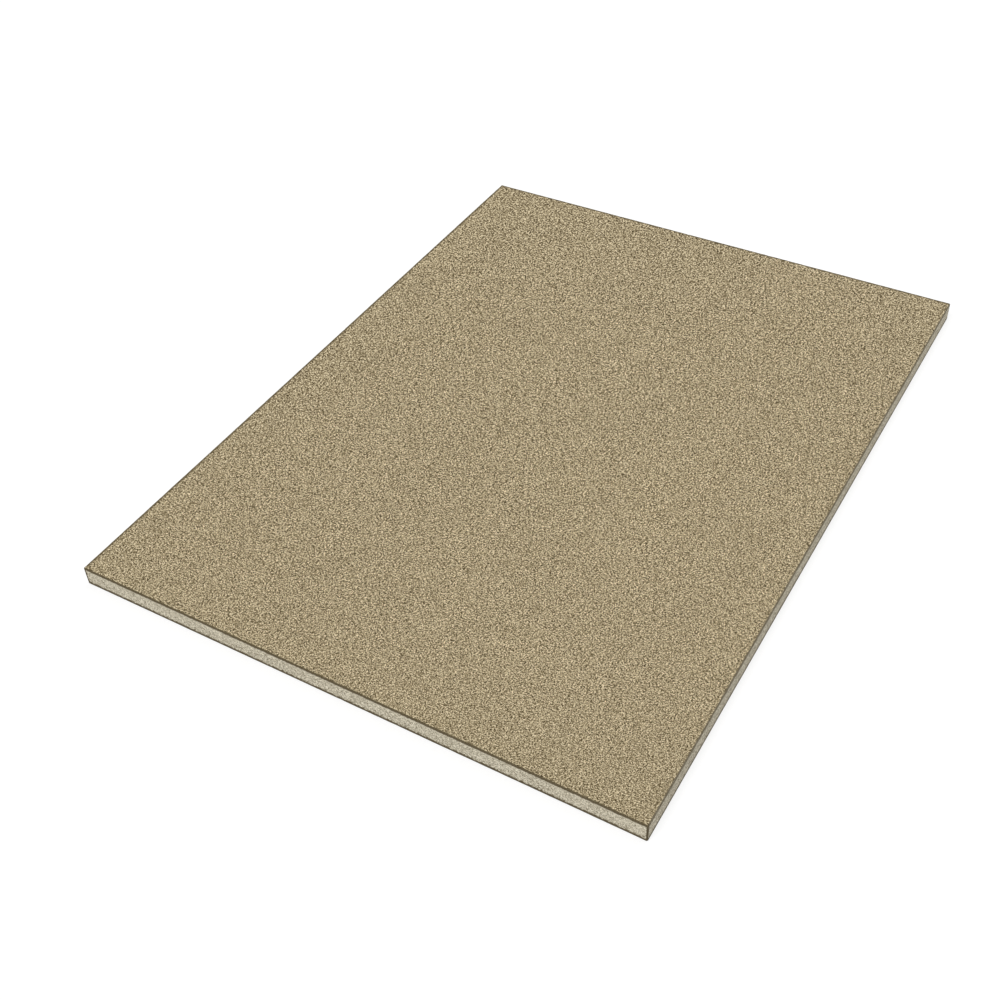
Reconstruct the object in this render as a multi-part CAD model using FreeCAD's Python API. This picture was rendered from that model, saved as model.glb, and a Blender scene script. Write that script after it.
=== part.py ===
"""Particle board panel: one flat rectangular board of pressed wood particles, sawn square.

Millimetres, +Z up. The board lies flat on its underside, with the origin at the middle of
that face: +X runs across the width, +Y along the length and +Z through the thickness.
The particles, glue and faces are pressed in one go, so the whole board is one solid. Every
arris carries the narrow flat that sanding leaves when it takes the sharpness off a sawn edge.
"""

import FreeCAD
import Part
import os

# Driving dimensions of the board.
LENGTH = 800.0
WIDTH = 600.0
THICKNESS = 22.0

# Leg of the 45 degree flat on every arris, measured along each of the two faces it joins.
ARRIS_FLAT = 1.0


def sawn_blank():
    """The board as it leaves the saw: sharp arrises, centred on the origin, standing on Z = 0."""
    lowest_corner = FreeCAD.Vector(-WIDTH / 2, -LENGTH / 2, 0)
    return Part.makeBox(WIDTH, LENGTH, THICKNESS, lowest_corner)


def particle_board():
    """The finished board: the blank with the flat sanded along all twelve arrises."""
    blank = sawn_blank()
    return blank.makeChamfer(ARRIS_FLAT, blank.Edges)


def main():
    os.makedirs("parts", exist_ok=True)
    particle_board().exportStep("parts/particle_board.step")


main()
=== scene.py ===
"""Raw particle board panel: pressed wood particles, two sanded faces and four sawn edges.

Metres, in the frame's own axes: X across the width, Y along the length, Z up, underside on
Z = 0. The board is one closed mesh. Its faces are flat, its sawn edges carry real relief where
the saw cut or pulled out particles, and every arris has the narrow flat that sanding leaves.
"""

import math

import bpy
import numpy as np
from mathutils import Matrix, Vector
from mathutils.geometry import delaunay_2d_cdt


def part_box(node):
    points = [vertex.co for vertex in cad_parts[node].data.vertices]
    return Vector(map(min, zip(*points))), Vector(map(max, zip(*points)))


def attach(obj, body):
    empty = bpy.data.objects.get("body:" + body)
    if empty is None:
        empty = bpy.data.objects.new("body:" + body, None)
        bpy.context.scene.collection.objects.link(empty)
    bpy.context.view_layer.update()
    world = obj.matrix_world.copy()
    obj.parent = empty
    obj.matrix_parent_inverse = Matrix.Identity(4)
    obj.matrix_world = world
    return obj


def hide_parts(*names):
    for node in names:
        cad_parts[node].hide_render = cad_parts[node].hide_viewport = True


bl_info = {
    "name": "Particle board panel",
    "version": (1, 0, 0),
    "blender": (4, 5, 0),
    "location": "View3D > Sidebar > Board",
    "description": "Builds a raw particle board panel with sawn edges, in a plain white studio",
    "category": "Object",
}

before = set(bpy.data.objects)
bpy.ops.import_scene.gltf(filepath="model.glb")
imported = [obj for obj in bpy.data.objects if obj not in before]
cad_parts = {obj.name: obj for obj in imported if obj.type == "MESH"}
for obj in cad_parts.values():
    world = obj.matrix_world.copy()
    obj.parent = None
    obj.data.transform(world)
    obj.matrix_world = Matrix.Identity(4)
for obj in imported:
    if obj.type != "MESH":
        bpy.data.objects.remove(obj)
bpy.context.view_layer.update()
BOARD_NODE = "particle_board"
LOW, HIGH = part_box(BOARD_NODE)
MIDDLE = (LOW + HIGH) / 2
SIZE = HIGH - LOW
MM = 0.001


def frame_arris():
    """Leg of the flat on the frame's arrises: the drop from its top face to the next vertex."""
    heights = sorted({round(v.co.z, 6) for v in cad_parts[BOARD_NODE].data.vertices})
    return heights[-1] - heights[-2]


# ---------------------------------------------------------------- settings


def length_setting(name, description, default):
    return bpy.props.FloatProperty(
        name=name, description=description, default=default, min=0.0, precision=5, unit="LENGTH"
    )


def colour_setting(name, description, default):
    return bpy.props.FloatVectorProperty(
        name=name, description=description, default=default, size=3, min=0.0, max=1.0, subtype="COLOR"
    )


def share_setting(name, description, default):
    return bpy.props.FloatProperty(name=name, description=description, default=default, min=0.0, max=1.0)


def count_setting(name, description, default):
    return bpy.props.IntProperty(name=name, description=description, default=default, min=0)


def angle_setting(name, description, degrees):
    return bpy.props.FloatProperty(
        name=name, description=description, default=math.radians(degrees), unit="ROTATION"
    )


def light_setting(name, description, default):
    return bpy.props.FloatProperty(name=name, description=description, default=default, min=0.0)


class BoardShape(bpy.types.PropertyGroup):
    """Sizes of the board's mesh: its arrises and the relief of its sawn edges."""

    arris: length_setting("Arris flat", "Leg of the flat sanded on every arris", frame_arris())
    grid: length_setting("Grid", "Spacing of the mesh on the sawn edges", 1.1 * MM)
    fibre_depth: length_setting("Fibre depth", "Height of the fibres that the saw left standing", 0.12 * MM)
    pit_depth: length_setting("Pit depth", "Deepest pit between two particles of an edge", 0.6 * MM)
    pits: count_setting("Pits per metre", "Pits along one metre of sawn edge", 620)
    nick_depth: length_setting("Nick depth", "Deepest chip broken out of an arris", 0.6 * MM)
    nicks: count_setting("Nicks per metre", "Chips broken out of one metre of arris", 22)
    skin: length_setting("Skin", "Thickness of the fine layer under each face", 3.2 * MM)
    seed: count_setting("Seed", "Start of the random draws for pits and nicks", 22)


class BoardFinish(bpy.types.PropertyGroup):
    """Colours and particle sizes of the faces, the sawn edges and the arrises, whose dark is handling soil
    and, along the foot of the sawn edges, painted shade.
    """

    face_dark: colour_setting("Face dark", "Bark and end grain flecks in a face", (0.031, 0.016, 0.001))
    face_middle: colour_setting("Face middle", "Most of a face's particles", (0.342, 0.270, 0.149))
    face_pale: colour_setting("Face pale", "Palest wood flecks in a face", (0.887, 0.754, 0.506))
    edge_dark: colour_setting("Edge dark", "Darkest particles of a sawn edge", (0.185, 0.148, 0.090))
    edge_middle: colour_setting("Edge middle", "Most of a sawn edge's particles", (0.592, 0.536, 0.405))
    edge_pale: colour_setting("Edge pale", "Freshly cut fibres of a sawn edge", (0.950, 0.885, 0.715))
    # Painted shade: this colour is laid into the pits of the sawn edges, darker the deeper the pit.
    hollow: colour_setting("Hollow", "Bottom of the pits between particles", (0.150, 0.120, 0.075))
    # Painted shade: this dark colour is laid over the arrises as soil, and along the foot of each sawn edge
    # as shade where the board meets the floor.
    soil_and_shade: colour_setting("Soiled and shaded arris", "Arrises darkened by handling", (0.085, 0.062, 0.026))
    fleck: length_setting("Fleck", "Spacing of the fine particles of a face", 0.85 * MM)
    blotch: length_setting("Blotch", "Spacing of the pale and dark wood among them", 1.7 * MM)
    coarser: bpy.props.FloatVectorProperty(
        name="Coarser", description="Growth of their pattern over one metre along X and Y",
        default=(-0.275, 0.433, 0.0), size=3,
    )
    chip_length: length_setting("Chip length", "Length of a chip in the middle of an edge", 1.1 * MM)
    chip_breadth: length_setting("Chip breadth", "Breadth of a chip in the middle of an edge", 0.9 * MM)
    chip_thickness: length_setting("Chip thickness", "Thickness of a chip in an edge", 0.8 * MM)
    narrow_reach: length_setting("Narrow reach", "How far front and right arrises darken a face", 0.1 * MM)
    wide_reach: length_setting("Wide reach", "How far back and left arrises darken a face", 2.4 * MM)
    edge_reach: length_setting("Edge reach", "How far an arris darkens a sawn edge", 1.3 * MM)
    # Painted shade: the lower reach widens the dark along the foot of each sawn edge, standing in for the
    # shade where the board meets the floor.
    lower_reach: length_setting("Lower reach", "How far a lower arris darkens a sawn edge", 3.3 * MM)
    upright_reach: length_setting("Upright reach", "How far an upright arris on the left does", 2.2 * MM)
    # These strengths darken both the soil on the arrises and the painted shade along the foot of the sawn
    # edges.
    front_soil_and_shade: share_setting("Front soil", "Strength of the dark round the front edge", 0.94)
    other_soil_and_shade: share_setting("Other soil", "Strength of the dark on the other arrises", 0.78)


class BoardStage(bpy.types.PropertyGroup):
    """The camera, the lamps and the floor."""

    azimuth: angle_setting("Azimuth", "Turn of the camera round the board, from its front", 32.4)
    elevation: angle_setting("Elevation", "Height of the camera above the horizon", 43.1)
    roll: angle_setting("Roll", "Tilt of the camera about its own line of sight", -3.1)
    distance: length_setting("Distance", "From the camera to the point it looks at", 1.339)
    aim: bpy.props.FloatVectorProperty(
        name="Aim", description="Point looked at, from the middle of the top face",
        default=(0.007, -0.130), size=2, unit="LENGTH",
    )
    lens: bpy.props.FloatProperty(name="Lens", description="Focal length in millimetres", default=48.4)
    sky: light_setting("Sky", "Even light from all round", 0.4)
    key: light_setting("Key", "Strength of the main lamp, in front of the board", 1.75)
    fill: light_setting("Fill", "Strength of the lamp behind the board", 0.75)
    floor: colour_setting("Floor", "Colour that the floor casts on the board", (0.68, 0.68, 0.68))
    shadow: share_setting("Shadow", "How dark the board's shadow on the floor can get", 0.3)


# ---------------------------------------------------------------- node building


# Distance from one node to the next in the node editor.
NODE_SPACING = 190


class NodeSheet:
    """A node tree under construction. Nodes are added from left to right and linked by socket."""

    def __init__(self, tree):
        self.tree = tree

    def add(self, kind, inputs=None, **settings):
        """Adds a node, applies its settings and fills its inputs with values or links."""
        node = self.tree.nodes.new(kind)
        node.location = (len(self.tree.nodes) * NODE_SPACING, 0)
        for name, value in settings.items():
            setattr(node, name, value)
        for name, value in (inputs or {}).items():
            if isinstance(value, bpy.types.NodeSocket):
                self.tree.links.new(value, node.inputs[name])
            else:
                node.inputs[name].default_value = value
        return node

    def math(self, operation, *values, clamp=False):
        node = self.add("ShaderNodeMath", dict(enumerate(values)), operation=operation, use_clamp=clamp)
        return node.outputs[0]

    def vector(self, operation, *values):
        return self.add("ShaderNodeVectorMath", dict(enumerate(values)), operation=operation).outputs[0]

    def spread(self, value, low, high, to_low=0.0, to_high=1.0, smooth=True):
        """Maps low..high to to_low..to_high, and holds the value there beyond the two ends."""
        kind = "SMOOTHSTEP" if smooth else "LINEAR"
        inputs = {"Value": value, "From Min": low, "From Max": high, "To Min": to_low, "To Max": to_high}
        return self.add("ShaderNodeMapRange", inputs, interpolation_type=kind).outputs[0]

    # A mix node's two values are its inputs 2 and 3, and its two colours its inputs 6 and 7.

    def blend_value(self, factor, first, second):
        inputs = {"Factor": factor, 2: first, 3: second}
        return self.add("ShaderNodeMix", inputs, data_type="FLOAT").outputs[0]

    def blend_colour(self, factor, first, second):
        inputs = {"Factor": factor, 6: first, 7: second}
        return self.add("ShaderNodeMix", inputs, data_type="RGBA").outputs[2]

    def noise(self, position, scale, detail=2.0):
        inputs = {"Vector": position, "Scale": scale, "Detail": detail}
        return self.add("ShaderNodeTexNoise", inputs)

    def ramp(self, value, stops):
        """A colour ramp with (place, colour) stops."""
        node = self.add("ShaderNodeValToRGB", {"Fac": value})
        elements = node.color_ramp.elements
        for number, (place, colour) in enumerate(stops):
            stop = elements[number] if number < 2 else elements.new(place)
            stop.position = place
            stop.color = (*colour, 1.0)
        return node.outputs["Color"]

    def place(self, tree, **inputs):
        """Places a node group and fills its named inputs. Words joined by _ stand for spaces."""
        node = self.add("ShaderNodeGroup", node_tree=tree)
        for name, value in inputs.items():
            socket = node.inputs[name.replace("_", " ").capitalize()]
            if isinstance(value, bpy.types.NodeSocket):
                self.tree.links.new(value, socket)
            else:
                socket.default_value = value
        return node


def new_group(name, inputs, outputs):
    """An empty shader node group with named sockets, and the sheet to fill it on."""
    kinds = {"value": "NodeSocketFloat", "vector": "NodeSocketVector", "colour": "NodeSocketColor"}
    tree = bpy.data.node_groups.new(name, "ShaderNodeTree")
    for label, kind in inputs:
        tree.interface.new_socket(name=label, in_out="INPUT", socket_type=kinds[kind])
    for label, kind in outputs:
        tree.interface.new_socket(name=label, in_out="OUTPUT", socket_type=kinds[kind])
    sheet = NodeSheet(tree)
    return sheet, sheet.add("NodeGroupInput").outputs


# Distance between two layers of particles in the pattern that they share, in particles.
LAYER_STEP = (37.3, 19.1, 11.7)
# Bends in a particle's outline: how many to a particle, and how far they go.
CROOK_SCALE = 0.9
CROOK_SIZE = 0.9
# Fibres along, across and through one particle, and how far they change its tone and height.
FIBRES = (0.8, 5.0, 2.5)
FIBRE_CONTRAST = 0.5
# How much higher the topmost particle of a layer lies than its lowest.
PARTICLE_RISE = 0.5
# For each layer, its turn in radians and the share of its particles left out, where others show through.
LAYERS = ((0.35, 0.0), (1.45, 0.5), (2.5, 0.62))


def particle_layer_group():
    """One layer of wood particles: a random tone for each, and how each one swells and grows."""
    inputs = [("Position", "vector"), ("Length", "value"), ("Breadth", "value"), ("Thickness", "value"),
              ("Turn", "value"), ("Layer", "value")]
    outputs = [("Tone", "value"), ("Pick", "value"), ("Dome", "value"), ("Fibre", "value")]
    sheet, given = new_group("Particle layer", inputs, outputs)
    turned = sheet.add("ShaderNodeVectorRotate", {
        "Vector": given["Position"], "Angle": given["Turn"],
    }, rotation_type="Z_AXIS").outputs[0]
    particle = sheet.add(
        "ShaderNodeCombineXYZ", {"X": given["Length"], "Y": given["Breadth"], "Z": given["Thickness"]}
    ).outputs[0]
    cells = sheet.vector("DIVIDE", turned, particle)
    far = sheet.add("ShaderNodeVectorMath", {0: LAYER_STEP, "Scale": given["Layer"]}, operation="SCALE")
    cells = sheet.vector("ADD", cells, far.outputs[0])
    crook = sheet.noise(cells, CROOK_SCALE, 1.0).outputs["Color"]
    crook = sheet.vector("SUBTRACT", crook, (0.5, 0.5, 0.5))
    crook = sheet.vector("MULTIPLY", crook, (CROOK_SIZE, CROOK_SIZE, CROOK_SIZE))
    crooked = sheet.vector("ADD", cells, crook)
    voronoi = sheet.add("ShaderNodeTexVoronoi", {"Vector": crooked, "Scale": 1.0})
    drawn = sheet.add("ShaderNodeSeparateColor", {"Color": voronoi.outputs["Color"]})
    dome = sheet.math("SUBTRACT", 1.0, voronoi.outputs["Distance"], clamp=True)
    grain = sheet.vector("MULTIPLY", crooked, FIBRES)
    fibre = sheet.noise(grain, 1.0).outputs["Fac"]
    sheet.add("NodeGroupOutput", {"Tone": drawn.outputs["Red"], "Pick": drawn.outputs["Green"],
                                  "Dome": dome, "Fibre": fibre})
    return sheet.tree


def pressed_group(layer):
    """Three layers of particles pressed over each other, turned different ways."""
    inputs = [("Position", "vector"), ("Length", "value"), ("Breadth", "value"), ("Thickness", "value")]
    sheet, given = new_group("Pressed particles", inputs, [("Tone", "value"), ("Height", "value")])
    tone = height = None
    for number, (turn, left_out) in enumerate(LAYERS):
        particles = sheet.place(
            layer, position=given["Position"], length=given["Length"], breadth=given["Breadth"],
            thickness=given["Thickness"], turn=turn, layer=float(number),
        ).outputs
        grain = sheet.math("MULTIPLY_ADD", particles["Fibre"], FIBRE_CONTRAST, -FIBRE_CONTRAST / 2)
        own_tone = sheet.math("ADD", particles["Tone"], grain)
        own_height = sheet.math("MULTIPLY_ADD", particles["Pick"], PARTICLE_RISE, particles["Dome"])
        own_height = sheet.math("ADD", own_height, grain)
        if number == 0:
            tone, height = own_tone, own_height
        else:
            shown = sheet.math("GREATER_THAN", particles["Pick"], left_out)
            tone = sheet.blend_value(shown, tone, own_tone)
            height = sheet.blend_value(shown, height, own_height)
    sheet.add("NodeGroupOutput", {"Tone": tone, "Height": height})
    return sheet.tree


# Tone of a sanded particle: where it starts, and what the nearness of the particle's middle, its own
# random draw and the blotch that it lies in add to it.
TONE_START = -2.035
TONE_OF_MIDDLE = 0.9
TONE_OF_DRAW = 0.3
TONE_OF_BLOTCH = 3.6
BLOTCH_ROUGHNESS = 0.9


def sanded_group():
    """Fine particles of a sanded face: each is palest in its middle, with a dark gap round it. The
    tones run in small blotches of pale and dark wood, and the particles get coarser towards one
    corner of the board: by the square of 1 + growth along the way out from its middle, and by less
    across it. The pattern is a flat one, as the faces are level."""
    inputs = [("Position", "vector"), ("Fleck", "value"), ("Blotch", "value"), ("Coarser", "vector")]
    sheet, given = new_group("Sanded particles", inputs, [("Tone", "value"), ("Height", "value")])
    growth = sheet.add("ShaderNodeVectorMath", {0: given["Position"], 1: given["Coarser"]},
                       operation="DOT_PRODUCT").outputs["Value"]
    shrink = sheet.math("DIVIDE", 1.0, sheet.math("ADD", growth, 1.0))
    place = sheet.add("ShaderNodeVectorMath", {0: given["Position"], "Scale": shrink}, operation="SCALE")
    fleck = sheet.add("ShaderNodeTexVoronoi", {
        "Vector": place.outputs[0], "Scale": sheet.math("DIVIDE", 1.0, given["Fleck"]),
    }, voronoi_dimensions="2D").outputs
    blotch = sheet.add("ShaderNodeTexNoise", {
        "Vector": fleck["Position"], "Scale": sheet.math("DIVIDE", 1.0, given["Blotch"]),
        "Detail": 2.0, "Roughness": BLOTCH_ROUGHNESS,
    }, noise_dimensions="2D").outputs["Fac"]
    own = sheet.add("ShaderNodeSeparateColor", {"Color": fleck["Color"]}).outputs["Red"]
    height = sheet.math("SUBTRACT", 1.0, fleck["Distance"], clamp=True)
    tone = sheet.math("MULTIPLY_ADD", height, TONE_OF_MIDDLE, TONE_START)
    tone = sheet.math("MULTIPLY_ADD", own, TONE_OF_DRAW, tone)
    tone = sheet.math("MULTIPLY_ADD", blotch, TONE_OF_BLOTCH, tone)
    sheet.add("NodeGroupOutput", {"Tone": tone, "Height": height})
    return sheet.tree


# Distances from the front and the right side between which the dark's strength and reach change.
CHANGE_STARTS = 2 * MM
CHANGE_ENDS = 4 * MM
# Reach from an upright arris on the right, as a share of the reach on the left.
RIGHT_UPRIGHT_SHARE = 0.2
# Uneven border of the dark: its waves in one metre and their detail, and the least and the most that
# they make of its reach.
BORDER_WAVES = 420.0
BORDER_DETAIL = 3.0
BORDER_LEAST = 0.6
BORDER_MOST = 1.4
# The shares of its reach between which the dark fades out.
FADE_STARTS = 0.7
FADE_ENDS = 1.3
# The part of a noise's range that holds nearly all of its values.
NOISE_LOW = 0.3
NOISE_HIGH = 0.7


def arris_group():
    """Dark of the arrises: on their flats, and in the surfaces beside them up to an uneven border.
    It is strongest round the front edge. In a face it is narrow at the front and on the right, and
    wide at the back and on the left. Along the foot of a sawn edge it reaches further, as painted
    shade where the board meets the floor; elsewhere it is soil."""
    inputs = [("Position", "vector"), ("Flat", "value"), ("Narrow reach", "value"), ("Wide reach", "value"),
              ("Lower reach", "value"), ("Upright reach", "value"),
              ("Front", "value"), ("Elsewhere", "value")]
    sheet, given = new_group("Arris soil and shade", inputs, [("Soil", "value")])
    from_middle = sheet.vector("SUBTRACT", given["Position"], tuple(MIDDLE))
    place = sheet.add("ShaderNodeSeparateXYZ", {0: from_middle}).outputs
    inside = sheet.vector("SUBTRACT", tuple(SIZE / 2), sheet.vector("ABSOLUTE", from_middle))
    axis = sheet.add("ShaderNodeSeparateXYZ", {0: inside}).outputs
    from_level = sheet.math("MAXIMUM", axis["Z"], sheet.math("MINIMUM", axis["X"], axis["Y"]))
    from_upright = sheet.math("MAXIMUM", axis["X"], axis["Y"])
    from_front = sheet.math("ADD", place["Y"], SIZE.y / 2)
    from_right = sheet.math("SUBTRACT", SIZE.x / 2, place["X"])
    in_front = sheet.spread(from_front, CHANGE_STARTS, CHANGE_ENDS, 1.0, 0.0)
    on_right = sheet.spread(from_right, CHANGE_STARTS, CHANGE_ENDS, 1.0, 0.0)
    low = sheet.math("LESS_THAN", place["Z"], 0.0)
    narrow = sheet.math("MAXIMUM", in_front, on_right)
    reach = sheet.blend_value(narrow, given["Wide reach"], given["Narrow reach"])
    # Painted shade: below the board's middle a level arris takes the lower reach, which on a sawn edge is
    # wide and stands in for the shade where the board meets the floor.
    level_reach = sheet.blend_value(low, reach, given["Lower reach"])
    upright_share = sheet.blend_value(on_right, 1.0, RIGHT_UPRIGHT_SHARE)
    upright_reach = sheet.math("MULTIPLY", given["Upright reach"], upright_share)
    uneven = sheet.noise(given["Position"], BORDER_WAVES, BORDER_DETAIL).outputs["Fac"]
    uneven = sheet.spread(uneven, NOISE_LOW, NOISE_HIGH, BORDER_LEAST, BORDER_MOST, smooth=False)
    dark = []
    for distance, far in ((from_level, level_reach), (from_upright, upright_reach)):
        past = sheet.math("SUBTRACT", distance, given["Flat"])
        past = sheet.math("DIVIDE", past, sheet.math("MULTIPLY", far, uneven))
        dark.append(sheet.spread(past, FADE_STARTS, FADE_ENDS, 1.0, 0.0))
    strength = sheet.blend_value(in_front, given["Elsewhere"], given["Front"])
    # Soil on the arrises and painted shade along the foot of the sawn edges, as one mask.
    soil = sheet.math("MULTIPLY", sheet.math("MAXIMUM", *dark), strength)
    sheet.add("NodeGroupOutput", {"Soil": soil})
    return sheet.tree


# Faint shine of bare wood.
WOOD_IOR = 1.45
WOOD_SHINE = 0.25
# Faint clouds in a face: how many to a metre, and the least and the most brightness that they leave.
CLOUDS = 9.0
CLOUD_DARKEST = 0.985
CLOUD_PALEST = 1.015
# Depth of the particles' relief in each surface, and its roughness in the darkest and the palest ones.
FACE_BUMP = 0.06 * MM
EDGE_BUMP = 0.15 * MM
FACE_ROUGHNESS = (0.92, 0.78)
EDGE_ROUGHNESS = (0.96, 0.84)
# Chips in the fine layer under each face, as shares of those in the middle of the edge.
SKIN_LENGTH = 0.5
SKIN_BREADTH = 0.6
SKIN_THICKNESS = 0.6
# Half the height over which the fine layer passes into the middle.
SKIN_BORDER = 1.5 * MM
# Painted shade in the pits: the depth at which it starts, as a share of the deepest, and how dark it is in
# the deepest one.
PIT_SHADE_STARTS = 0.25
PIT_SHADE_DARKEST = 0.75


def new_material(name):
    """A material with an empty sheet of nodes."""
    material = bpy.data.materials.new(name)
    material.use_nodes = True
    material.node_tree.nodes.clear()
    return material, NodeSheet(material.node_tree)


def close_material(sheet, colour, roughness, height, depth):
    """Ends a bare wood material: matt, with a faint shine and its relief as bump."""
    bump = sheet.add("ShaderNodeBump", {"Height": height, "Distance": depth, "Strength": 1.0})
    wood = sheet.add("ShaderNodeBsdfPrincipled", {
        "Base Color": colour, "Roughness": roughness, "Normal": bump.outputs[0],
        "IOR": WOOD_IOR, "Specular IOR Level": WOOD_SHINE,
    })
    sheet.add("ShaderNodeOutputMaterial", {"Surface": wood.outputs[0]})


def lay_soil_and_shade(sheet, group, colour, position, shape, finish, **reaches):
    """A colour with the dark of the arrises laid over it: soil, and painted shade along the foot of the
    sawn edges.
    """
    soil = sheet.place(
        group, position=position, flat=shape.arris, front=finish.front_soil_and_shade, elsewhere=finish.other_soil_and_shade,
        **reaches,
    ).outputs["Soil"]
    return sheet.blend_colour(soil, colour, (*finish.soil_and_shade, 1.0))


def face_material(shape, finish, groups):
    """Sanded face: fine flecks of every tone from bark to sapwood."""
    material, sheet = new_material("sanded_face")
    position = sheet.add("ShaderNodeTexCoord").outputs["Object"]
    fine = sheet.place(
        groups["sanded"], position=position, fleck=finish.fleck, blotch=finish.blotch,
        coarser=finish.coarser,
    ).outputs
    colour = sheet.ramp(fine["Tone"], [
        (0.0, finish.face_dark), (1.0, finish.face_pale), (0.5, finish.face_middle),
    ])
    cloud = sheet.noise(position, CLOUDS).outputs["Fac"]
    cloud = sheet.spread(cloud, NOISE_LOW, NOISE_HIGH, CLOUD_DARKEST, CLOUD_PALEST, smooth=False)
    cloudy = sheet.add("ShaderNodeHueSaturation", {"Color": colour, "Value": cloud}).outputs[0]
    soil_and_shade = lay_soil_and_shade(
        sheet, groups["arris"], cloudy, position, shape, finish, narrow_reach=finish.narrow_reach,
        wide_reach=finish.wide_reach, lower_reach=finish.wide_reach, upright_reach=finish.narrow_reach,
    )
    roughness = sheet.spread(fine["Tone"], 0.0, 1.0, *FACE_ROUGHNESS, smooth=False)
    close_material(sheet, soil_and_shade, roughness, fine["Height"], FACE_BUMP)
    return material


def edge_material(shape, finish, groups):
    """Sawn edge: paler chips cut across, nearly as thick as long, and finer ones under each face."""
    material, sheet = new_material("sawn_edge")
    position = sheet.add("ShaderNodeTexCoord").outputs["Object"]
    core = sheet.place(
        groups["pressed"], position=position, length=finish.chip_length,
        breadth=finish.chip_breadth, thickness=finish.chip_thickness,
    ).outputs
    skin = sheet.place(
        groups["pressed"], position=position, length=finish.chip_length * SKIN_LENGTH,
        breadth=finish.chip_breadth * SKIN_BREADTH, thickness=finish.chip_thickness * SKIN_THICKNESS,
    ).outputs
    height_above = sheet.add("ShaderNodeSeparateXYZ", {0: position}).outputs["Z"]
    from_middle = sheet.math("ABSOLUTE", sheet.math("SUBTRACT", height_above, MIDDLE.z))
    skin_starts = SIZE.z / 2 - shape.skin
    in_core = sheet.spread(from_middle, skin_starts - SKIN_BORDER, skin_starts + SKIN_BORDER, 1.0, 0.0)
    tone = sheet.blend_value(in_core, skin["Tone"], core["Tone"])
    height = sheet.blend_value(in_core, skin["Height"], core["Height"])
    colour = sheet.ramp(tone, [
        (0.0, finish.edge_dark), (1.0, finish.edge_pale), (0.5, finish.edge_middle),
    ])
    # Painted shade: the deeper a pit, the more of the hollow colour is laid over the edge.
    pit = sheet.add("ShaderNodeAttribute", attribute_name="pit").outputs["Fac"]
    hollow = sheet.spread(pit, PIT_SHADE_STARTS, 1.0, 0.0, PIT_SHADE_DARKEST)
    pit_shaded = sheet.blend_colour(hollow, colour, (*finish.hollow, 1.0))
    # Soil on the arrises, and painted shade along the foot of the edge where it meets the floor, from the
    # lower reach.
    soil_and_shade = lay_soil_and_shade(
        sheet, groups["arris"], pit_shaded, position, shape, finish, narrow_reach=finish.edge_reach,
        wide_reach=finish.edge_reach, lower_reach=finish.lower_reach, upright_reach=finish.upright_reach,
    )
    roughness = sheet.spread(tone, 0.0, 1.0, *EDGE_ROUGHNESS, smooth=False)
    close_material(sheet, soil_and_shade, roughness, height, EDGE_BUMP)
    return material


# ---------------------------------------------------------------- mesh building


class Side:
    """One sawn side: its columns from corner to corner, and the way into the board."""

    def __init__(self, start, end, grid):
        start, end = np.array(start), np.array(end)
        self.length = float(np.linalg.norm(end - start))
        self.along = (end - start) / self.length
        self.inward = np.array([-self.along[1], self.along[0]])
        self.places = np.linspace(0.0, self.length, round(self.length / grid) + 1)
        self.columns = start + self.places[:, None] * self.along

    def fade(self, over):
        """0 at both corners of the side, rising to 1 within the length given."""
        from_corner = np.minimum(self.places, self.length - self.places)
        return np.clip(from_corner / over, 0.0, 1.0)


def board_sides(shape):
    """The four sides in turn, counterclockwise from above, each stopping short at its corner flats."""
    flat = shape.arris
    left, front = LOW.x, LOW.y
    right, back = HIGH.x, HIGH.y
    runs = [
        ((left + flat, front), (right - flat, front)),
        ((right, front + flat), (right, back - flat)),
        ((right - flat, back), (left + flat, back)),
        ((left, back - flat), (left, front + flat)),
    ]
    return [Side(start, end, shape.grid) for start, end in runs]


def rolling(draws, count, spacing):
    """Smooth random values from 0 to 1 along a line, one new value every so many steps."""
    knots = draws.random(int(count / spacing) + 3)
    place = np.arange(count) / spacing
    whole = place.astype(int)
    part = place - whole
    part = part * part * (3 - 2 * part)
    return knots[whole] * (1 - part) + knots[whole + 1] * part


def rolling_sheet(draws, rows, columns, row_spacing, column_spacing):
    """Smooth random values from 0 to 1 on a grid."""
    lines = int(rows / row_spacing) + 3
    knots = np.array([rolling(draws, columns, column_spacing) for _ in range(lines)])
    place = np.arange(rows) / row_spacing
    whole = place.astype(int)
    part = (place - whole)[:, None]
    part = part * part * (3 - 2 * part)
    return knots[whole] * (1 - part) + knots[whole + 1] * part


def edge_heights(shape):
    """Heights of the grid rows on a side, from its top arris down to its bottom arris."""
    tall = SIZE.z - 2 * shape.arris
    return HIGH.z - shape.arris - np.linspace(0.0, tall, round(tall / shape.grid) + 1)


# Grid steps from one standing fibre to the next: long ones lie over short ones.
LONG_FIBRE_STEPS = 2.5
SHORT_FIBRE_STEPS = 1.0
# Pits: half their length and half their height in millimetres, and how much shorter and shallower they
# are in the fine layer. A high steepness leaves few of them deep.
PIT_REACH_MM = (0.7, 3.0)
PIT_RISE_MM = (0.4, 0.9)
SKIN_PIT_REACH = 0.6
SKIN_PIT_DEPTH = 0.45
PIT_STEEPNESS = 1.5
# How many times its reach a pit is worked out to along the side. It has run out by then.
PIT_EXTENT = 2.5
# Length over which the relief fades out towards a side's corners.
RELIEF_CORNER_FADE = 4 * MM
# Share of the relief left at an arris, and the length over which as much as all of it would return.
RELIEF_AT_ARRIS = 0.25
RELIEF_RETURN = 2 * MM


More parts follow.
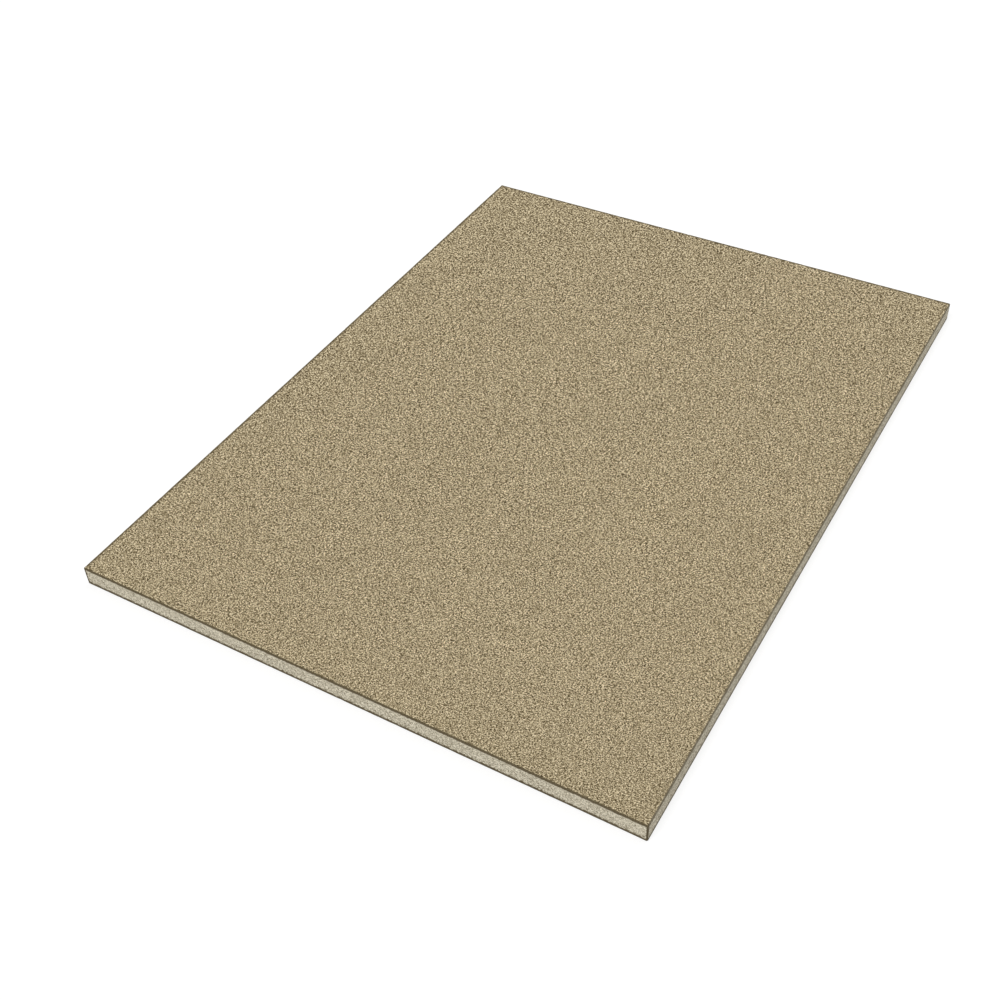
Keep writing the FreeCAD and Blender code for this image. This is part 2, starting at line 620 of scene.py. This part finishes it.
def sawn_relief(side, heights, shape, draws):
    """How far each point of a side lies behind its plane: standing fibres and torn pits."""
    depth = rolling_sheet(draws, len(heights), len(side.places), 1.0, LONG_FIBRE_STEPS)
    depth += rolling_sheet(draws, len(heights), len(side.places), 1.0, SHORT_FIBRE_STEPS)
    depth *= shape.fibre_depth / 2
    core_reach = SIZE.z / 2 - shape.skin
    for _ in range(round(shape.pits * side.length)):
        place = draws.random() * side.length
        height = MIDDLE.z + draws.uniform(-1.0, 1.0) * (SIZE.z / 2 - shape.arris)
        in_core = abs(height - MIDDLE.z) < core_reach
        reach = draws.uniform(*PIT_REACH_MM) * MM * (1.0 if in_core else SKIN_PIT_REACH)
        rise = draws.uniform(*PIT_RISE_MM) * MM
        deep = shape.pit_depth * draws.random() ** PIT_STEEPNESS * (1.0 if in_core else SKIN_PIT_DEPTH)
        near = np.abs(side.places - place) < PIT_EXTENT * reach
        along = ((side.places[near] - place) / reach) ** 2
        across = ((heights - height) / rise) ** 2
        dent = deep * np.exp(-(across[:, None] + along[None, :]))
        depth[:, near] = np.maximum(depth[:, near], dent)
    depth *= side.fade(RELIEF_CORNER_FADE)
    from_arris = np.minimum(heights[0] - heights, heights - heights[-1])
    return depth * np.clip(RELIEF_AT_ARRIS + from_arris / RELIEF_RETURN, 0.0, 1.0)[:, None]


# Wear of an arris: grid steps from one wide place to the next, and how much wider than its flat it gets.
WEAR_STEPS = 6.0
WEAR = 0.15 * MM
# Half the length of a nick in millimetres, and the length over which wear fades out towards a corner.
NICK_REACH_MM = (1.2, 3.2)
WEAR_CORNER_FADE = 6 * MM
# How far the middle of an arris's flat is worn back, as a share of the wear of its two borders.
WORN_MIDDLE = 0.55


def arris_wear(side, shape, draws):
    """How much wider than its flat an arris is worn, along one side: a slow wander and nicks."""
    wear = rolling(draws, len(side.places), WEAR_STEPS) * WEAR
    for _ in range(round(shape.nicks * side.length)):
        place = draws.random() * side.length
        reach = draws.uniform(*NICK_REACH_MM) * MM
        deep = shape.nick_depth * draws.random() ** 2
        hollow = 1 - ((side.places - place) / reach) ** 2
        wear = np.maximum(wear, deep * np.sqrt(np.clip(hollow, 0.0, 1.0)))
    return wear * side.fade(WEAR_CORNER_FADE)


def side_rows(side, shape, draws):
    """Every row of points of a side, from the top face's outline to the underside's, and their pits."""
    heights = edge_heights(shape)
    relief = sawn_relief(side, heights, shape, draws)
    top_wear = arris_wear(side, shape, draws)
    low_wear = arris_wear(side, shape, draws)
    top_worn = shape.arris + top_wear
    low_worn = shape.arris + low_wear
    top_middle = shape.arris / 2 + WORN_MIDDLE * top_wear
    low_middle = shape.arris / 2 + WORN_MIDDLE * low_wear
    insets = [top_worn, top_middle, *relief, low_middle, low_worn]
    levels = [HIGH.z, HIGH.z - top_middle, HIGH.z - top_worn, *heights[1:-1],
              LOW.z + low_worn, LOW.z + low_middle, LOW.z]
    points = np.empty((len(insets), len(side.places), 3))
    for row, inset, level in zip(points, insets, levels):
        row[:, :2] = side.columns + inset[:, None] * side.inward
        row[:, 2] = level
    pits = np.zeros(points.shape[:2])
    pits[2:-2] = np.clip(relief / shape.pit_depth, 0.0, 1.0)
    return points, pits


# Rings of points in a face: the first ring's inset in grid steps, how much further in each next one lies,
# and the distance between a ring's points as a share of its inset.
FIRST_INSET = 2.2
INSET_GROWTH = 1.7
RING_STEP = 1.1
# Two points of a face closer than this are one.
SAME_POINT = 1e-8


def graded_points(low, high, grid):
    """Points inside a rectangle, close together near its outline and further apart inwards."""
    points = []
    inset = FIRST_INSET * grid
    while inset < min(high[0] - low[0], high[1] - low[1]) / 2:
        corners = [(low[0] + inset, low[1] + inset), (high[0] - inset, low[1] + inset),
                   (high[0] - inset, high[1] - inset), (low[0] + inset, high[1] - inset)]
        for start, end in zip(corners, corners[1:] + corners[:1]):
            start, end = np.array(start), np.array(end)
            steps = max(1, round(np.linalg.norm(end - start) / (RING_STEP * inset)))
            points += [tuple(start + (end - start) * step / steps) for step in range(steps)]
        inset *= INSET_GROWTH
    return points


def face_triangles(outline, grid):
    """Triangles that fill a flat face, as indices into its outline followed by its inner points."""
    flat = np.array(outline)
    inner = graded_points(flat.min(0), flat.max(0), grid)
    points = [Vector(point) for point in outline] + [Vector(point) for point in inner]
    ring = [(number, (number + 1) % len(outline)) for number in range(len(outline))]
    _, _, faces, origins, _, _ = delaunay_2d_cdt(points, ring, [], 1, SAME_POINT)
    return inner, [[origins[corner][0] for corner in face] for face in faces]


# Two faces of the mesh that meet at more than this angle have a sharp edge between them.
SHARP_ANGLE = math.radians(32)


def new_object(name, data):
    """An object with the data given, in the scene."""
    made = bpy.data.objects.new(name, data)
    bpy.context.scene.collection.objects.link(made)
    return made


class BoardMesh:
    """Collects the board's vertices, pit depths and faces, with a material number for each face."""

    SANDED = 0
    SAWN = 1

    def __init__(self):
        self.vertices, self.pits, self.faces, self.finishes = [], [], [], []

    def add_points(self, points, pits):
        """Adds points and returns their indices."""
        first = len(self.vertices)
        self.vertices += [tuple(float(number) for number in point) for point in points]
        self.pits += [float(pit) for pit in pits]
        return list(range(first, first + len(points)))

    def add_face(self, corners, finish):
        kept = [corner for number, corner in enumerate(corners) if corner != corners[number - 1]]
        self.faces.append(kept)
        self.finishes.append(finish)

    def add_sides(self, shape):
        """The four sawn sides, with their arris and corner flats. Returns the columns of indices."""
        draws = np.random.default_rng(shape.seed)
        columns = []
        for side in board_sides(shape):
            points, pits = side_rows(side, shape, draws)
            for column in range(points.shape[1]):
                if column == 0 and columns:
                    ends = (columns[-1][0], columns[-1][-1])
                    middle = self.add_points(points[1:-1, 0], pits[1:-1, 0])
                    columns.append([ends[0], *middle, ends[1]])
                else:
                    columns.append(self.add_points(points[:, column], pits[:, column]))
        columns[-1][0], columns[-1][-1] = columns[0][0], columns[0][-1]
        for here, after in zip(columns, columns[1:] + columns[:1]):
            for row in range(len(here) - 1):
                self.add_face([here[row], here[row + 1], after[row + 1], after[row]], self.SAWN)
        return columns

    def add_flat(self, outline, level, grid, facing_up):
        """A flat sanded face inside an outline of indices that runs counterclockwise from above."""
        flat_outline = [self.vertices[index][:2] for index in outline]
        inner, triangles = face_triangles(flat_outline, grid)
        indices = outline + self.add_points([(x, y, level) for x, y in inner], [0.0] * len(inner))
        for triangle in triangles:
            a, b, c = (Vector(self.vertices[indices[corner]][:2]) for corner in triangle)
            turns_left = (b - a).cross(c - a) > 0
            corners = [indices[corner] for corner in triangle]
            self.add_face(corners if turns_left == facing_up else corners[::-1], self.SANDED)

    def to_object(self, name, materials):
        mesh = bpy.data.meshes.new(name)
        used = sorted({corner for face in self.faces for corner in face})
        place = {old: new for new, old in enumerate(used)}
        vertices = [self.vertices[old] for old in used]
        faces = [[place[corner] for corner in face] for face in self.faces]
        mesh.from_pydata(vertices, [], faces)
        pits = mesh.attributes.new("pit", "FLOAT", "POINT")
        pits.data.foreach_set("value", [self.pits[old] for old in used])
        for material in materials:
            mesh.materials.append(material)
        mesh.polygons.foreach_set("material_index", self.finishes)
        mesh.shade_smooth()
        mesh.set_sharp_from_angle(angle=SHARP_ANGLE)
        if mesh.validate():
            raise RuntimeError("the board's mesh has broken faces")
        return new_object(name, mesh)


def build_board(shape, materials):
    """The whole board as one object."""
    mesh = BoardMesh()
    columns = mesh.add_sides(shape)
    top = []
    underside = []
    for column in columns:
        if not top or column[0] != top[-1]:
            top.append(column[0])
            underside.append(column[-1])
    if top[-1] == top[0]:
        top.pop()
        underside.pop()
    mesh.add_flat(top, HIGH.z, shape.grid, True)
    mesh.add_flat(underside, LOW.z, shape.grid, False)
    return mesh.to_object("particle_board_panel", materials)


# ---------------------------------------------------------------- stage building


# Distance from the middle of the floor to its sides.
FLOOR_REACH = 12.0
# Brightness of the floor where no shadow falls: a little over white, so that it is plain white there.
FLOOR_WHITE = 1.05
# Lamps: azimuth and elevation, and the angle over which each spreads, in degrees.
KEY_LAMP = (-12.0, 52.0, 35.0)
FILL_LAMP = (160.0, 45.0, 60.0)
LAMP_DISTANCE = 3
SENSOR_MM = 36.0
NEAREST_SEEN = 0.05


def seen_directly(sheet):
    """1 for what the camera sees, straight, in a shine or through glass, and 0 for all other light."""
    rays = sheet.add("ShaderNodeLightPath").outputs
    seen = sheet.math("MAXIMUM", rays["Is Camera Ray"], rays["Is Glossy Ray"])
    return sheet.math("MAXIMUM", seen, rays["Is Transmission Ray"])


def build_floor(stage):
    """A plain matt floor: pale to the board, and white with a light shadow to the camera."""
    material, sheet = new_material("floor")
    seen = seen_directly(sheet)
    shadowed = (stage.shadow, stage.shadow, stage.shadow, 1.0)
    colour = sheet.blend_colour(seen, (*stage.floor, 1.0), shadowed)
    glow = sheet.math("MULTIPLY", seen, FLOOR_WHITE - stage.shadow)
    paint = sheet.add("ShaderNodeBsdfPrincipled", {
        "Base Color": colour, "Roughness": 1.0, "Specular IOR Level": 0.0,
        "Emission Color": (1.0, 1.0, 1.0, 1.0), "Emission Strength": glow,
    })
    sheet.add("ShaderNodeOutputMaterial", {"Surface": paint.outputs[0]})
    mesh = bpy.data.meshes.new("floor")
    signs = [(-1, -1), (1, -1), (1, 1), (-1, 1)]
    corners = [(x * FLOOR_REACH, y * FLOOR_REACH, LOW.z) for x, y in signs]
    mesh.from_pydata(corners, [], [(0, 1, 2, 3)])
    mesh.materials.append(material)
    floor = new_object("floor", mesh)


def build_sky(stage):
    """Even light from all round, and plain white where the camera sees past the floor."""
    world = bpy.data.worlds.new("studio")
    world.use_nodes = True
    world.node_tree.nodes.clear()
    sheet = NodeSheet(world.node_tree)
    strength = sheet.blend_value(seen_directly(sheet), stage.sky, 1.0)
    light = sheet.add("ShaderNodeBackground", {"Color": (1.0, 1.0, 1.0, 1.0), "Strength": strength})
    sheet.add("ShaderNodeOutputWorld", {"Surface": light.outputs[0]})
    bpy.context.scene.world = world


def direction(azimuth, elevation):
    """From the board towards a place round it: azimuth 0 is in front, and grows to the right."""
    flat = math.cos(elevation)
    return Vector((math.sin(azimuth) * flat, -math.cos(azimuth) * flat, math.sin(elevation)))


def build_lamp(name, azimuth, elevation, softness, strength):
    """A broad, soft lamp far away, so that it lights the whole board at one level."""
    data = bpy.data.lights.new(name, "SUN")
    data.energy = strength
    data.angle = math.radians(softness)
    lamp = new_object(name, data)
    away = direction(math.radians(azimuth), math.radians(elevation))
    lamp.location = MIDDLE + away * LAMP_DISTANCE
    lamp.rotation_euler = away.to_track_quat("Z", "Y").to_euler()


def build_camera(stage):
    """The camera, above the front right of the board, looking down at its top face."""
    data = bpy.data.cameras.new("camera")
    data.lens = stage.lens
    data.sensor_width = SENSOR_MM
    data.clip_start = NEAREST_SEEN
    camera = new_object("camera", data)
    target = Vector((MIDDLE.x + stage.aim[0], MIDDLE.y + stage.aim[1], HIGH.z))
    away = direction(stage.azimuth, stage.elevation)
    level = away.to_track_quat("Z", "Y").to_matrix().to_4x4()
    tilt = Matrix.Rotation(stage.roll, 4, "Z")
    camera.matrix_world = Matrix.Translation(target + away * stage.distance) @ level @ tilt
    bpy.context.scene.camera = camera


# ---------------------------------------------------------------- operators and panel


class BOARD_OT_build_panel(bpy.types.Operator):
    """Build the board: its mesh, its sanded faces and its sawn edges"""

    bl_idname = "board.build_panel"
    bl_label = "Build board"

    def execute(self, context):
        shape, finish = context.scene.board_shape, context.scene.board_finish
        groups = {
            "pressed": pressed_group(particle_layer_group()),
            "sanded": sanded_group(),
            "arris": arris_group(),
        }
        materials = [face_material(shape, finish, groups), edge_material(shape, finish, groups)]
        board = build_board(shape, materials)
        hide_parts(BOARD_NODE)
        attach(board, "root")
        return {"FINISHED"}


class BOARD_OT_build_stage(bpy.types.Operator):
    """Build the stage: a white floor, soft even light and the camera"""

    bl_idname = "board.build_stage"
    bl_label = "Build stage"

    def execute(self, context):
        stage = context.scene.board_stage
        build_floor(stage)
        build_sky(stage)
        build_lamp("key", *KEY_LAMP, stage.key)
        build_lamp("fill", *FILL_LAMP, stage.fill)
        build_camera(stage)
        context.scene.view_settings.view_transform = "Standard"
        return {"FINISHED"}


class BOARD_PT_sidebar(bpy.types.Panel):
    """Lists the board's settings and the buttons that build it"""

    bl_label = "Particle board"
    bl_idname = "BOARD_PT_sidebar"
    bl_space_type = "VIEW_3D"
    bl_region_type = "UI"
    bl_category = "Board"

    def draw(self, context):
        scene = context.scene
        for settings, operator in (
            (scene.board_shape, None),
            (scene.board_finish, BOARD_OT_build_panel.bl_idname),
            (scene.board_stage, BOARD_OT_build_stage.bl_idname),
        ):
            box = self.layout.box()
            for name in settings.__annotations__:
                box.prop(settings, name)
            if operator:
                box.operator(operator)


CLASSES = (
    BoardShape, BoardFinish, BoardStage,
    BOARD_OT_build_panel, BOARD_OT_build_stage, BOARD_PT_sidebar,
)


def register():
    for each in CLASSES:
        bpy.utils.register_class(each)
    bpy.types.Scene.board_shape = bpy.props.PointerProperty(type=BoardShape)
    bpy.types.Scene.board_finish = bpy.props.PointerProperty(type=BoardFinish)
    bpy.types.Scene.board_stage = bpy.props.PointerProperty(type=BoardStage)


def unregister():
    del bpy.types.Scene.board_stage
    del bpy.types.Scene.board_finish
    del bpy.types.Scene.board_shape
    for each in reversed(CLASSES):
        bpy.utils.unregister_class(each)


def main():
    register()
    bpy.ops.board.build_panel()
    bpy.ops.board.build_stage()


if __name__ == "__main__":
    main()
